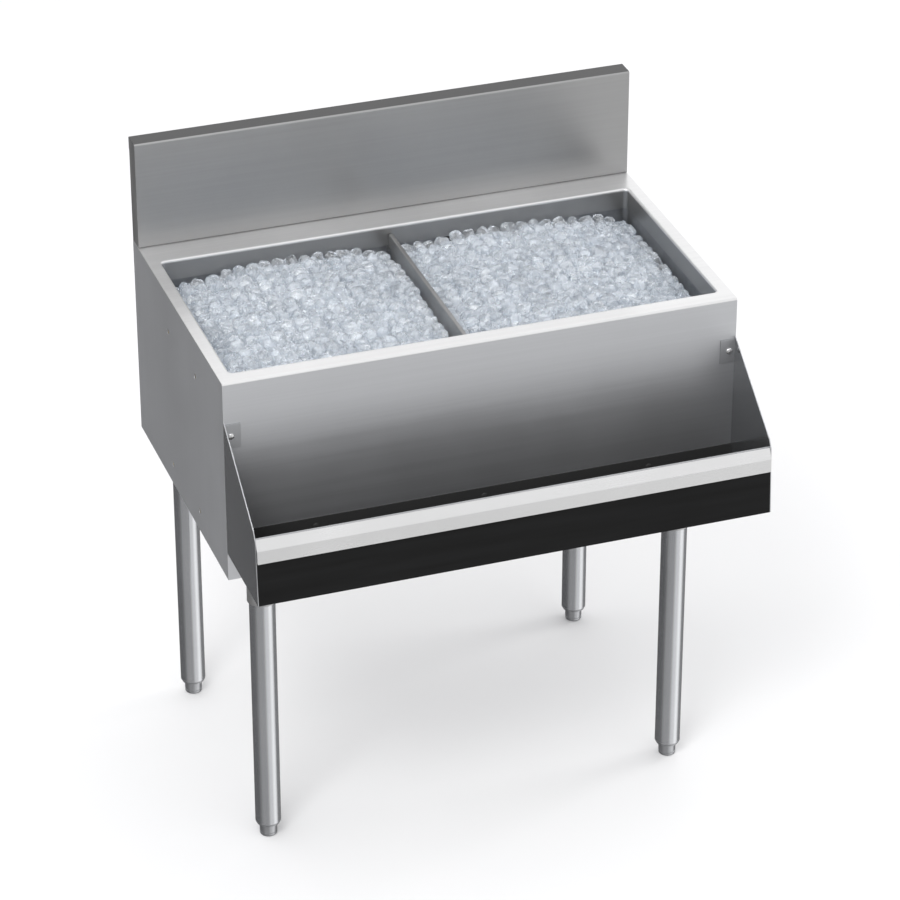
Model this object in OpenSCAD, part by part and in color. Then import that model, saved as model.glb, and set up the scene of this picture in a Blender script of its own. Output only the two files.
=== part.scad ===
// Underbar ice bin: an insulated stainless steel bin on four legs, with a backsplash, a lift-out
// divider, a bottle rail along the front and a heap of ice in each compartment.
// The origin is on the floor, in the middle of the unit's footprint. The front faces -Y.

/* [Body] */
// Width of the unit, end to end
unit_w = 762; // [600:1:1220]
// Depth of the body, from the face of the apron to the rear face
body_d = 460; // [430:1:560]
// Height of the body, from its underside to the rim
body_h = 315; // [280:1:380]
// Height of the rim above the floor
rim_h = 780; // [720:1:900]
// Thickness of the sheet steel
sheet_t = 1.5; // [1.2:0.1:2]
// Outer radius of a bend in the sheet
bend_r = 3; // [2.5:0.1:4]
// Width of the flanges turned in at the bottom of the panels
flange_w = 22; // [18:1:30]
// Thickness of the foam under the liner
foam_floor_t = 24; // [20:1:34]

/* [Rim and deck] */
// Width of the rim along the front
rim_front_w = 28; // [24:1:40]
// Width of the rim along each side
rim_side_w = 19; // [16:1:40]
// Width of the deck between the opening and the backsplash
deck_w = 50; // [44:1:70]
// Height of the flange turned down round the opening
mouth_flange_h = 32; // [20:1:45]
// Radius of the opening's corners
mouth_r = 7; // [5:0.5:12]

/* [Backsplash] */
// Rise of the backsplash above the deck
splash_rise = 167; // [140:1:260]
// Depth of the backsplash, from its face to the wall
splash_d = 32; // [26:1:45]
// Height of the hem turned down at the rear of the backsplash
splash_hem_h = 20; // [14:1:28]
// Width of the flange that stands on the deck
splash_foot_w = 18; // [12:1:22]
// Height of the stiffener behind the backsplash
stiffener_h = 30; // [20:1:40]
// Depth of the stiffener
stiffener_d = 14; // [8:1:18]
// Width of a wall clip
clip_w = 40; // [30:1:60]
// Height of a wall clip
clip_h = 40; // [30:1:46]
// Distance between the wall clips
clip_span = 600; // [300:1:660]
// Radius of the screw hole in a wall clip
clip_hole_r = 3.5; // [2.5:0.1:5]

/* [Line ports] */
// Width of a port for drink lines in the liner's rear wall
port_w = 110; // [60:1:120]
// Height of a port
port_h = 60; // [40:1:90]
// Distance from the bin's middle to the near edge of a port
port_off = 58; // [45:1:80]
// Corner radius of a port
port_r = 9; // [5:1:15]
// Distance from the liner's face to the sunk face of a plug
plug_sink = 3; // [1:0.5:6]
// Depth of a plug behind the liner's face
plug_d = 22; // [12:1:30]

/* [Divider] */
// Place of the divider, right of the bin's middle
divider_x = -13; // [-60:1:60]
// Thickness of the double-skinned divider
divider_t = 6.4; // [4:0.1:8]
// Distance from the rim down to the divider's top
divider_drop = 11; // [8:1:20]
// Gap between the divider and the flanges of the opening
divider_gap = 0.8; // [0.5:0.1:2]
// Radius of the divider's top corners
divider_r = 5; // [2:0.5:8]
// Thickness of each skin of the divider
divider_skin = 1.2; // [0.8:0.1:1.5]
// Clearance between the divider and its guides
guide_fit = 0.4; // [0.3:0.05:1]
// Thickness of a guide's sheet
guide_t = 1.2; // [1:0.1:2]
// Reach of a guide from the wall
guide_reach = 13; // [9:1:18]
// Thickness of the stop at the foot of a guide
guide_stop_h = 6; // [3:1:12]

/* [Drain] */
// Place of the drain, right of the bin's middle
drain_x = 120; // [80:1:200]
// Place of the drain, in front of the liner's rear wall
drain_back = 90; // [60:1:140]
// Radius of the sump pressed into the liner's floor
sump_r = 38; // [34:1:44]
// Depth of the sump
sump_d = 9; // [7:1:14]
// Radius of the drain's flange
drain_flange_r = 32; // [28:1:33]
// Thickness of the drain's flange
drain_flange_t = 2.5; // [2:0.1:4]
// Thickness of the gasket under the flange
gasket_t = 1.5; // [1:0.1:2]
// Outer radius of the drain's threaded shank
shank_r = 17.6; // [17:0.1:20]
// Length of the shank below the body
shank_drop = 15; // [11:1:25]
// Outer radius of the tail pipe
tail_r = 16.7; // [15:0.1:16.8]
// Bore radius of the drain
tail_bore_r = 13.3; // [11:0.1:14]
// Length of the tail pipe below the shank
tail_l = 35; // [25:1:60]
// Radius of the strainer
strainer_r = 26; // [20:1:27]
// Thickness of the strainer
strainer_t = 1.2; // [0.8:0.1:2]
// Radius of a hole in the strainer
strainer_hole_r = 2.2; // [1.5:0.1:3]
// Height of the lock nut
nut_h = 9; // [7:1:12]
// Width of the lock nut across its corners
nut_w = 50; // [46:1:58]

/* [Rail] */
// Reach of the rail in front of the apron
rail_reach = 147; // [110:1:180]
// Height of the rail's underside above the body's underside
rail_rise = 44; // [20:1:60]
// Height of the rail's lip above its underside
rail_h = 101; // [80:1:120]
// Height of the upstand at the rail's rear
rail_back_h = 34; // [20:1:40]
// Lean of the rail's front wall over its height
rail_lean = 6; // [0:1:15]
// Height of the lip's upright lower band
lip_low_h = 20; // [10:1:24]
// Height of the lip's sloped upper band
lip_high_h = 15; // [12:1:26]
// Distance that the lip stands out from the front wall
lip_out = 3; // [2:0.5:6]
// Setback of the lip's top edge behind its lower band
lip_slope = 7; // [3:1:12]
// Thickness of the lip at its top
lip_t = 5; // [4:0.5:8]
// Distance from the rim down to the place where an end plate's sloped edge meets the apron
plate_drop = 60; // [30:1:70]
// Height at which the sloped edge turns down, above the lip
plate_nose_rise = 12; // [6:1:20]
// Width of the fixing tab of an end plate
tab_w = 24; // [18:1:32]
// Height of the fixing tab
tab_h = 38; // [28:1:50]
// Distance from the end plate's top down to the tab
tab_drop = 4; // [3:1:20]

/* [Legs and feet] */
// Distance from the left end to the left legs
leg_left = 56; // [50:1:120]
// Distance from the right end to the right legs
leg_right = 74; // [50:1:120]
// Distance from the apron's face to the front legs
leg_front = 27; // [27:1:60]
// Distance from the rear face to the rear legs
leg_rear = 33; // [27:1:80]
// Outer radius of a leg tube
leg_r = 19; // [17:0.5:21]
// Wall thickness of a leg tube
leg_wall = 1.6; // [1.2:0.1:2.5]
// Height of a support channel
channel_h = 12; // [10:1:16]
// Half of the width of a channel and of a socket plate
socket_half = 27; // [26:1:30]
// Thickness of a socket plate
socket_plate_t = 3; // [2:0.5:5]
// Depth of a socket
socket_l = 44; // [30:1:60]
// Wall thickness of a socket
socket_wall = 2.6; // [2:0.1:3.5]
// Clearance between a leg and its socket
socket_fit = 0.1; // [0.05:0.05:0.3]
// Height of the foot that shows below the ferrule
foot_show = 21; // [20:1:34]
// Outer radius of a foot
foot_r = 13; // [11:0.5:14]
// Bevel round the bottom of a foot
foot_bevel = 2; // [1:0.5:4]
// Height of the ferrule's collar below the tube
ferrule_h = 5; // [3:0.5:9]
// Length of the ferrule inside the tube
ferrule_l = 40; // [30:1:60]
// Running clearance between a foot and its ferrule
foot_fit = 0.06; // [0.02:0.01:0.1]

/* [Ice] */
// Distance from the rim down to the crest of the left heap
ice_left_drop = 13.5; // [12:0.5:60]
// Distance from the rim down to the crest of the right heap
ice_right_drop = 13; // [12:0.5:60]
// Clearance between the ice and the divider
ice_gap = 1.5; // [1:0.5:4]
// Width of a piece of ice
ice_piece = 20; // [16:1:40]
// Depth of the gaps between the pieces of ice
ice_groove = 9; // [0:0.5:9]
// How far the lowest pieces of ice sink below the others
ice_sink = 3.5; // [0:0.5:6]

/* [Joining holes and screws] */
// Distance from the apron's face to the front joining holes
join_front = 140; // [60:1:180]
// Distance between the front and rear joining holes
join_span = 140; // [100:1:220]
// Distance from the rim down to the upper joining holes
join_top = 61; // [45:1:90]
// Distance from the underside up to the lower joining holes
join_low = 34; // [26:1:60]
// Radius of a joining hole
join_r = 4.2; // [3:0.1:5]
// Radius of a screw's shank
screw_r = 2.4; // [2:0.1:3]
// Radius of a screw's head
screw_head_r = 4.8; // [4:0.1:6]
// Height of a screw's head
screw_head_h = 2.4; // [1.5:0.1:3.5]
// Clearance between a screw and its hole
screw_fit = 0.1; // [0.05:0.05:0.3]

/* [Hidden] */
$fn = 48;

// Overrun of every cut past the face that it starts from
cut = 1;
// Lap of the opening's bends into the flat sheet on both sides
bend_lap = 0.5;
// Colours, as the photograph shows the finishes
steel = [0.62, 0.63, 0.65];
steel_bright = [0.86, 0.86, 0.87];
steel_dark = [0.42, 0.43, 0.45];
black = [0.09, 0.09, 0.09];
foam_tint = [0.93, 0.88, 0.7];
ice_tint = [0.84, 0.87, 0.9];

// Planes of the body
half_w = unit_w / 2;
all_d = body_d + rail_reach;
rear_y = all_d / 2;
apron_y = rear_y - body_d;
rail_y = apron_y - rail_reach;
splash_y = rear_y - splash_d;
under_z = rim_h - body_h;
plate_z = rim_h - sheet_t;
top_z = rim_h + splash_rise;
pan_z = under_z + sheet_t;

// The opening, the liner and its floor
mouth_x = half_w - rim_side_w;
mouth_front = apron_y + rim_front_w;
mouth_rear = splash_y - deck_w;
mouth_mid = (mouth_front + mouth_rear) / 2;
mouth_half_d = (mouth_rear - mouth_front) / 2;
foam_z = pan_z + sheet_t;
floor_z = foam_z + foam_floor_t + sheet_t;
liner_top = rim_h - bend_r;
liner_x = mouth_x + sheet_t;
liner_front = mouth_front - sheet_t;
liner_rear = mouth_rear + sheet_t;
liner_r = mouth_r + sheet_t;
liner_out_x = liner_x + sheet_t;
liner_out_front = liner_front - sheet_t;
liner_out_rear = liner_rear + sheet_t;

// Line ports and their plugs: centres and height
port_x = port_off + port_w / 2;
port_top = rim_h - mouth_flange_h;
plug_fit = 0.2;
plug_lip = 5;

// Divider and guides
divider_top = rim_h - divider_drop;
divider_low = floor_z + guide_stop_h + guide_fit;
divider_front = mouth_front + divider_gap;
divider_rear = mouth_rear - divider_gap;
guide_x = divider_t / 2 + guide_fit;
guide_top = port_top - guide_fit;

// Drain
drain_y = liner_rear - drain_back;
sump_floor = floor_z - sump_d;
drain_seat = sump_floor + gasket_t;
drain_top = drain_seat + drain_flange_t;
drain_fit = 0.3;
shank_z = under_z - shank_drop;
tail_z = shank_z - tail_l;
strainer_ring_shares = [0.36, 0.7];
strainer_ring_holes = 6;

// Rail: its lip starts above the black wall, and both lean with the wall
rail_z = under_z + rail_rise;
plate_top_z = rim_h - plate_drop;
lip_z = rail_z + rail_h - lip_low_h - lip_high_h;
lip_mid_z = lip_z + lip_low_h;
lip_top_z = rail_z + rail_h;
rail_in_w = unit_w - sheet_t - sheet_t;
plate_nose_z = lip_top_z + plate_nose_rise;
tab_z = plate_top_z - tab_drop - tab_h;
tab_screw_in_share = 0.42;
tab_screw_up_share = 0.5;
tab_screw_x = half_w - tab_screw_in_share * tab_w;
tab_screw_z = tab_z + tab_screw_up_share * tab_h;
trough_screw_shares = [-0.66, 0, 0.66];
trough_screw_up_share = 0.6;
trough_screw_z = rail_z + trough_screw_up_share * rail_back_h;
rail_shank_l = 12;
rail_screw_places = concat(
    [for (share = trough_screw_shares) [share * half_w, trough_screw_z]],
    [for (side = [-1, 1]) [side * tab_screw_x, tab_screw_z]]);

// Legs: the four places, and the heights of what stacks up under the body
leg_x_left = leg_left - half_w;
leg_x_right = half_w - leg_right;
leg_y_front = apron_y + leg_front;
leg_y_rear = rear_y - leg_rear;
leg_places = [[leg_x_left, leg_y_front], [leg_x_right, leg_y_front],
    [leg_x_left, leg_y_rear], [leg_x_right, leg_y_rear]];
channel_z = under_z - channel_h;
socket_z = channel_z - socket_plate_t;
socket_low = socket_z - socket_l;
tube_z = foot_show + ferrule_h;
set_screw_r = 3;
set_screw_down_share = 0.55;
set_screw_z = socket_z - set_screw_down_share * socket_l;
set_screw_l = 7;
bolt_share = 0.8;
bolt_r = 2.5;
bolt_head_r = 4.2;
bolt_head_h = 2.5;
ferrule_taper_share = 0.7;
foot_hold_share = 0.75;
foot_top = tube_z + foot_hold_share * ferrule_l;

// Screws under the body, along the front and rear flanges
bottom_screw_shares = [-0.58, -0.2, 0.2, 0.58];
bottom_screw_in = 12;
bottom_screw_l = 6;
bottom_screw_places = [for (share = bottom_screw_shares, y = [apron_y + bottom_screw_in,
    rear_y - bottom_screw_in]) [share * half_w, y]];
joint_pocket_r = 9;
joint_pocket_l = 12;

// Ice: how far each heap falls away at its left, right, front and rear edge, below its crest,
// and further at its rear right corner
ice_left_falls = [24, 10, 16, 1, 20];
ice_right_falls = [15, 26, 16, 3, 6];
ice_edge_power = 4;
ice_corner_power = 12;
ice_seat_gap = 0.3;
// A piece's share of its cell, and the most that chance shifts, turns, tilts and resizes one
ice_top_share = 0.6;
ice_top_change_share = 0.07;
ice_shift_share = 0.25;
ice_spin = 10;
ice_tilt_share = 0.34;
ice_groove_change_share = 0.3;
ice_chances = 8;
ice_left_seed = 3;
ice_right_seed = 8;
// The heaps' square corners stay clear of the opening's round ones
ice_corner_share = 0.3;
ice_wall_gap = ice_seat_gap + ice_corner_share * mouth_r;
ice_y = [mouth_front + ice_wall_gap, mouth_rear - ice_wall_gap];
ice_divider_gap = guide_x + guide_t + ice_gap;

// Plain building blocks
module slab(x, y, z) {
    translate([x[0], y[0], z[0]])
        cube([x[1] - x[0], y[1] - y[0], z[1] - z[0]]);
}

module round_rect(x, y, r) {
    translate([x[0] + r, y[0]])
        square([x[1] - x[0] - 2 * r, y[1] - y[0]]);
    translate([x[0], y[0] + r])
        square([x[1] - x[0], y[1] - y[0] - 2 * r]);
    for (cx = [x[0] + r, x[1] - r], cy = [y[0] + r, y[1] - r])
        translate([cx, cy])
            circle(r);
}

// Draws a profile in the Y-Z plane and runs it along X between two places
module run_x(x) {
    translate([x[0], 0, 0])
        rotate([90, 0, 90])
            linear_extrude(x[1] - x[0])
                children();
}

// Draws a profile in the X-Z plane and runs it along Y between two places
module run_y(y) {
    translate([0, y[1], 0])
        rotate([90, 0, 0])
            linear_extrude(y[1] - y[0])
                children();
}

// A quarter of a bent sheet round the origin. A lap runs on past both ends, into the flat sheet there.
module bend(side_u, side_v, lap = 0) {
    intersection() {
        difference() {
            circle(bend_r);
            circle(bend_r - sheet_t);
        }
        translate([min(0, side_u * bend_r), min(0, side_v * bend_r)])
            square(bend_r);
    }
    if (lap > 0) {
        translate([min(side_u * bend_r, side_u * (bend_r - sheet_t)), min(0, -side_v * lap)])
            square([sheet_t, lap]);
        translate([min(0, -side_u * lap), min(side_v * bend_r, side_v * (bend_r - sheet_t))])
            square([lap, sheet_t]);
    }
}

// The opening's outline, grown outwards
module mouth_outline(grow) {
    round_rect([-mouth_x - grow, mouth_x + grow], [mouth_front - grow, mouth_rear + grow], mouth_r + grow);
}

module mouth_bends() {
    for (turn = [0:3])
        let (away = turn % 2 == 0 ? mouth_half_d : mouth_x, along = turn % 2 == 0 ? mouth_x : mouth_half_d)
            translate([0, mouth_mid, rim_h - bend_r])
                rotate([0, 0, 90 * turn]) {
                    translate([0, away + bend_r, 0])
                        run_x([mouth_r - along, along - mouth_r])
                            bend(-1, 1, bend_lap);
                    translate([along - mouth_r, away - mouth_r, 0])
                        rotate_extrude(angle = 90)
                            translate([mouth_r + bend_r, 0])
                                bend(-1, 1, bend_lap);
                }
}

module rail_screw_holes(depth) {
    for (place = rail_screw_places)
        translate([place[0], apron_y - sheet_t - cut, place[1]])
            rotate([-90, 0, 0])
                cylinder(r = screw_r + screw_fit, h = depth + cut);
}

module bottom_screw_holes() {
    for (place = bottom_screw_places)
        translate([place[0], place[1], under_z - cut])
            cylinder(r = screw_r + screw_fit, h = bottom_screw_l + cut);
}

// Panels of the body
module front_apron() {
    color(steel)
    difference() {
        union() {
            slab([-half_w, half_w], [apron_y, apron_y + sheet_t], [under_z, rim_h - bend_r]);
            slab([sheet_t - half_w, half_w - sheet_t], [apron_y, apron_y + flange_w], [under_z, pan_z]);
        }
        rail_screw_holes(rail_shank_l);
        bottom_screw_holes();
    }
}

module rim_frame() {
    color(steel_bright) {
        translate([0, 0, plate_z])
            linear_extrude(sheet_t)
                difference() {
                    translate([-half_w, apron_y + bend_r])
                        square([unit_w, body_d - bend_r]);
                    mouth_outline(bend_r);
                }
        translate([0, 0, port_top])
            linear_extrude(mouth_flange_h - bend_r)
                difference() {
                    mouth_outline(sheet_t);
                    mouth_outline(0);
                }
        mouth_bends();
        translate([0, apron_y + bend_r, rim_h - bend_r])
            run_x([-half_w, half_w])
                bend(-1, 1);
    }
}

module side_panel(side) {
    outer = side * half_w;
    inner = side * (half_w - sheet_t);
    lip = side * (half_w - flange_w);
    color(steel)
    difference() {
        union() {
            slab([min(outer, inner), max(outer, inner)], [apron_y + sheet_t, rear_y - sheet_t],
                [under_z, plate_z]);
            slab([min(inner, lip), max(inner, lip)], [apron_y + flange_w, rear_y - flange_w],
                [under_z, pan_z]);
        }
        join_holes(join_r, sheet_t);
    }
}

// The joining holes of both ends, each bored from the end face to a depth
module join_holes(r, depth) {
    for (side = [-1, 1], along = [0, 1], z = [rim_h - join_top, under_z + join_low])
        translate([side * (half_w + cut), apron_y + join_front + along * join_span, z])
            rotate([0, -90 * side, 0])
                cylinder(r = r, h = depth + cut + cut);
}

module rear_panel() {
    color(steel_dark)
    difference() {
        union() {
            slab([-half_w, half_w], [rear_y - sheet_t, rear_y], [under_z, plate_z]);
            slab([sheet_t - half_w, half_w - sheet_t], [rear_y - flange_w, rear_y], [under_z, pan_z]);
        }
        bottom_screw_holes();
    }
}

module bottom_pan() {
    color(steel_dark)
    difference() {
        slab([sheet_t - half_w, half_w - sheet_t], [apron_y + sheet_t, rear_y - sheet_t], [pan_z, foam_z]);
        bottom_screw_holes();
        translate([drain_x, drain_y, under_z - cut])
            cylinder(r = shank_r + drain_fit, h = body_h);
    }
}

module bin_liner() {
    color(steel_dark)
    difference() {
        union() {
            translate([0, 0, floor_z - sheet_t])
                linear_extrude(liner_top - floor_z + sheet_t)
                    mouth_outline(2 * sheet_t);
            translate([drain_x, drain_y, sump_floor - sheet_t])
                cylinder(r = sump_r + sheet_t, h = sump_d);
        }
        translate([0, 0, floor_z])
            linear_extrude(body_h)
                mouth_outline(sheet_t);
        translate([drain_x, drain_y, sump_floor])
            cylinder(r = sump_r, h = sump_d + cut);
        translate([drain_x, drain_y, under_z])
            cylinder(r = shank_r + drain_fit, h = body_h);
        for (side = [-1, 1])
            port_cut(side, 0);
    }
}

// A line port on one side of the middle, drawn larger or smaller all round
module port_cut(side, grow) {
    run_y([liner_rear - cut, liner_out_rear + cut])
        round_rect([side * port_x - port_w / 2 - grow, side * port_x + port_w / 2 + grow],
            [port_top - port_h - grow, port_top + grow], port_r + grow);
}

module port_plug(side) {
    color(black) {
        run_y([liner_rear + plug_sink, liner_rear + plug_d])
            round_rect([side * port_x - port_w / 2 + plug_fit, side * port_x + port_w / 2 - plug_fit],
                [port_top - port_h + plug_fit, port_top - plug_fit], port_r);
        run_y([liner_out_rear, liner_rear + plug_d])
            difference() {
                round_rect([side * port_x - port_w / 2 - plug_lip, side * port_x + port_w / 2 + plug_lip],
                    [port_top - port_h - plug_lip, port_top + plug_lip], port_r + plug_lip);
                round_rect([side * port_x - port_w / 2 + plug_fit, side * port_x + port_w / 2 - plug_fit],
                    [port_top - port_h + plug_fit, port_top - plug_fit], port_r);
            }
    }
}

// Foam between the panels and the liner
module foam_front() {
    color(foam_tint)
    difference() {
        slab([-liner_out_x, liner_out_x], [apron_y + sheet_t, liner_out_front], [foam_z, liner_top]);
        rail_screw_holes(rail_shank_l);
        bottom_screw_holes();
    }
}

module foam_rear() {
    color(foam_tint)
    difference() {
        slab([-liner_out_x, liner_out_x], [liner_out_rear, rear_y - sheet_t], [foam_z, liner_top]);
        bottom_screw_holes();
        for (side = [-1, 1])
            run_y([liner_out_rear - cut, liner_rear + plug_d])
                round_rect([side * port_x - port_w / 2 - plug_lip, side * port_x + port_w / 2 + plug_lip],
                    [port_top - port_h - plug_lip, port_top + plug_lip], port_r + plug_lip);
    }
}

module foam_side(side) {
    near = side * liner_out_x;
    far = side * (half_w - sheet_t);
    color(foam_tint)
    difference() {
        slab([min(near, far), max(near, far)], [apron_y + sheet_t, rear_y - sheet_t], [foam_z, liner_top]);
        join_holes(joint_pocket_r, joint_pocket_l);
        rail_screw_holes(rail_shank_l);
    }
}

module foam_bottom() {
    color(foam_tint)
    difference() {
        slab([-liner_out_x, liner_out_x], [liner_out_front, liner_out_rear], [foam_z, floor_z - sheet_t]);
        translate([drain_x, drain_y, foam_z - cut])
            cylinder(r = sump_r + sheet_t, h = foam_floor_t + cut + cut);
    }
}

// Backsplash, from the flange on the deck up over the top and down to the hem
module backsplash() {
    color(steel) {
        run_x([-half_w, half_w]) {
            translate([splash_y + bend_r, rim_h])
                square([splash_foot_w - bend_r, sheet_t]);
            translate([splash_y + bend_r, rim_h + bend_r])
                bend(-1, -1);
            translate([splash_y, rim_h + bend_r])
                square([sheet_t, splash_rise - 2 * bend_r]);
            translate([splash_y + bend_r, top_z - bend_r])
                bend(-1, 1);
            translate([splash_y + bend_r, top_z - sheet_t])
                square([splash_d - 2 * bend_r, sheet_t]);
            translate([rear_y - bend_r, top_z - bend_r])
                bend(1, 1);
            translate([rear_y - sheet_t, top_z - splash_hem_h])
                square([sheet_t, splash_hem_h - bend_r]);
        }
        for (side = [-1, 1])
            translate([side * (half_w - sheet_t / 2), 0, 0])
                run_x([-sheet_t / 2, sheet_t / 2]) {
                    translate([splash_y + sheet_t, rim_h])
                        square([splash_d - 2 * sheet_t, splash_rise - bend_r]);
                    translate([splash_y + bend_r, rim_h])
                        square([splash_d - 2 * bend_r, splash_rise - sheet_t]);
                }
    }
}

module splash_stiffener() {
    near = splash_y + sheet_t;
    mid = rim_h + splash_rise / 2;
    reach = half_w - flange_w;
    color(steel_dark)
    difference() {
        slab([-reach, reach], [near, near + stiffener_d], [mid - stiffener_h / 2, mid + stiffener_h / 2]);
        slab([-half_w, half_w], [near + sheet_t, rear_y],
            [mid - stiffener_h / 2 + sheet_t, mid + stiffener_h / 2 - sheet_t]);
    }
}

module wall_clips() {
    high = top_z - splash_hem_h;
    color(steel_dark)
    for (side = [-1, 1])
        difference() {
            union() {
                slab([side * clip_span / 2 - clip_w / 2, side * clip_span / 2 + clip_w / 2],
                    [rear_y - sheet_t, rear_y], [high - clip_h, high]);
                slab([side * clip_span / 2 - clip_w / 2, side * clip_span / 2 + clip_w / 2],
                    [splash_y + sheet_t, rear_y - sheet_t], [high - clip_h, high - clip_h + sheet_t]);
            }
            translate([side * clip_span / 2, rear_y - sheet_t - cut, high - clip_h / 2])
                rotate([-90, 0, 0])
                    cylinder(r = clip_hole_r, h = sheet_t + cut + cut);
        }
}

// Divider, a sheet folded over at the top, with rounded top corners, and the guides that it stands in
module divider_plate() {
    color(steel_dark)
    translate([divider_x, 0, 0])
        difference() {
            run_x([-divider_t / 2, divider_t / 2]) {
                translate([divider_front, divider_low])
                    square([divider_rear - divider_front, divider_top - divider_low - divider_r]);
                translate([divider_front + divider_r, divider_low])
                    square([divider_rear - divider_front - 2 * divider_r, divider_top - divider_low]);
                for (y = [divider_front + divider_r, divider_rear - divider_r])
                    translate([y, divider_top - divider_r])
                        circle(divider_r);
            }
            slab([divider_skin - divider_t / 2, divider_t / 2 - divider_skin],
                [divider_front + divider_r, divider_rear - divider_r],
                [divider_low - cut, divider_top - divider_r]);
        }
}

module divider_guide(wall_y, side) {
    color(steel_dark)
    translate([divider_x, wall_y, 0])
        difference() {
            slab([-guide_x - guide_t, guide_x + guide_t],
                [min(0, side * guide_reach), max(0, side * guide_reach)], [floor_z, guide_top]);
            slab([-guide_x, guide_x],
                [min(side * guide_t, side * unit_w), max(side * guide_t, side * unit_w)],
                [floor_z + guide_stop_h, rim_h]);
        }
}

// Drain, from the strainer in the sump down to the tail pipe
module drain_body() {
    color(steel_bright)
    translate([drain_x, drain_y, 0])
        difference() {
            union() {
                translate([0, 0, drain_seat])
                    cylinder(r = drain_flange_r, h = drain_flange_t);
                translate([0, 0, shank_z])
                    cylinder(r = shank_r, h = drain_seat - shank_z);
                translate([0, 0, tail_z])
                    cylinder(r = tail_r, h = tail_l);
            }
            translate([0, 0, tail_z - cut])
                cylinder(r = tail_bore_r, h = body_h);
        }
}

module drain_gasket() {
    color(black)
    translate([drain_x, drain_y, sump_floor])
        difference() {
            cylinder(r = drain_flange_r, h = gasket_t);
            translate([0, 0, -cut])
                cylinder(r = shank_r + drain_fit, h = gasket_t + cut + cut);
        }
}

module drain_strainer() {
    color(steel)
    translate([drain_x, drain_y, drain_top])
        difference() {
            cylinder(r = strainer_r, h = strainer_t);
            for (ring = [0:1], i = [0:strainer_ring_holes * (ring + 1) - 1])
                rotate([0, 0, 360 * i / (strainer_ring_holes * (ring + 1))])
                    translate([strainer_ring_shares[ring] * strainer_r, 0, -cut])
                        cylinder(r = strainer_hole_r, h = strainer_t + cut + cut);
            translate([0, 0, -cut])
                cylinder(r = strainer_hole_r, h = strainer_t + cut + cut);
        }
}

module drain_locknut() {
    color(steel_bright)
    translate([drain_x, drain_y, pan_z - nut_h])
        difference() {
            cylinder(r = nut_w / 2, h = nut_h, $fn = 6);
            translate([0, 0, -cut])
                cylinder(r = shank_r + drain_fit, h = nut_h + cut + cut);
        }
}

// Supports under the body
module support_channel(x) {
    color(steel_dark)
    difference() {
        slab([x - socket_half, x + socket_half], [apron_y, rear_y], [channel_z, under_z]);
        slab([x - socket_half + sheet_t, x + socket_half - sheet_t], [apron_y - cut, rear_y + cut],
            [channel_z + sheet_t, under_z + cut]);
        for (place = leg_places)
            bolt_holes(place);
    }
}

module bolt_holes(place) {
    for (sx = [-1, 1], sy = [-1, 1])
        translate([place[0] + sx * bolt_share * socket_half, place[1] + sy * bolt_share * socket_half,
            socket_z - cut])
            cylinder(r = bolt_r + screw_fit, h = socket_plate_t + sheet_t + cut + cut);
}

module leg_socket(place) {
    side = sign(place[0]);
    color(steel_dark)
    difference() {
        union() {
            slab([place[0] - socket_half, place[0] + socket_half],
                [place[1] - socket_half, place[1] + socket_half], [socket_z, channel_z]);
            translate([place[0], place[1], socket_low])
                cylinder(r = leg_r + socket_fit + socket_wall, h = socket_l);
        }
        translate([place[0], place[1], socket_low - cut])
            cylinder(r = leg_r + socket_fit, h = socket_l + cut);
        translate([place[0], place[1], set_screw_z])
            rotate([0, -90 * side, 0])
                cylinder(r = set_screw_r + screw_fit, h = leg_r + socket_wall + cut);
        bolt_holes(place);
    }
}

module leg(place) {
    color(steel_bright)
    translate([place[0], place[1], tube_z])
        difference() {
            cylinder(r = leg_r, h = socket_z - tube_z);
            translate([0, 0, -cut])
                cylinder(r = leg_r - leg_wall, h = socket_z - tube_z + cut + cut);
        }
}

module ferrule(place) {
    bore = foot_r + foot_fit;
    plug = leg_r - leg_wall - foot_fit;
    color(steel_dark)
    translate([place[0], place[1], foot_show])
        rotate_extrude()
            union() {
                polygon([[bore, 0], [leg_r - ferrule_h / 2, 0], [leg_r, ferrule_taper_share * ferrule_h],
                    [leg_r, ferrule_h], [bore, ferrule_h]]);
                translate([bore, 0])
                    square([plug - bore, ferrule_h + ferrule_l]);
            }
}

module foot(place) {
    color(steel)
    translate([place[0], place[1], 0])
        rotate_extrude()
            polygon([[0, 0], [foot_r - foot_bevel, 0], [foot_r, foot_bevel],
                [foot_r, foot_top], [0, foot_top]]);
}

// Fasteners, each group as separate solids
module socket_screws() {
    color(steel)
    for (place = leg_places)
        translate([place[0], place[1], set_screw_z])
            rotate([0, -90 * sign(place[0]), 0])
                translate([0, 0, leg_r])
                    cylinder(r = set_screw_r, h = set_screw_l);
}

module socket_bolts() {
    color(steel)
    for (place = leg_places, sx = [-1, 1], sy = [-1, 1])
        translate([place[0] + sx * bolt_share * socket_half, place[1] + sy * bolt_share * socket_half, 0]) {
            translate([0, 0, socket_z - bolt_head_h])
                cylinder(r = bolt_head_r, h = bolt_head_h);
            translate([0, 0, socket_z])
                cylinder(r = bolt_r, h = socket_plate_t + sheet_t);
        }
}

module bottom_screws() {
    color(steel)
    for (place = bottom_screw_places)
        translate([place[0], place[1], 0]) {
            translate([0, 0, under_z - screw_head_h])
                cylinder(r = screw_head_r, h = screw_head_h);
            translate([0, 0, under_z])
                cylinder(r = screw_r, h = bottom_screw_l);
        }
}

module rail_screws() {
    color(steel)
    for (place = rail_screw_places)
        translate([place[0], apron_y - sheet_t, place[1]])
            rotate([-90, 0, 0]) {
                translate([0, 0, -screw_head_h])
                    cylinder(r = screw_head_r, h = screw_head_h);
                cylinder(r = screw_r, h = rail_shank_l);
            }
}

// Setback of the front wall's outer face at a height above the rail's underside
function wall_set(z) = rail_y + rail_lean * (z - rail_z) / rail_h;

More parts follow.
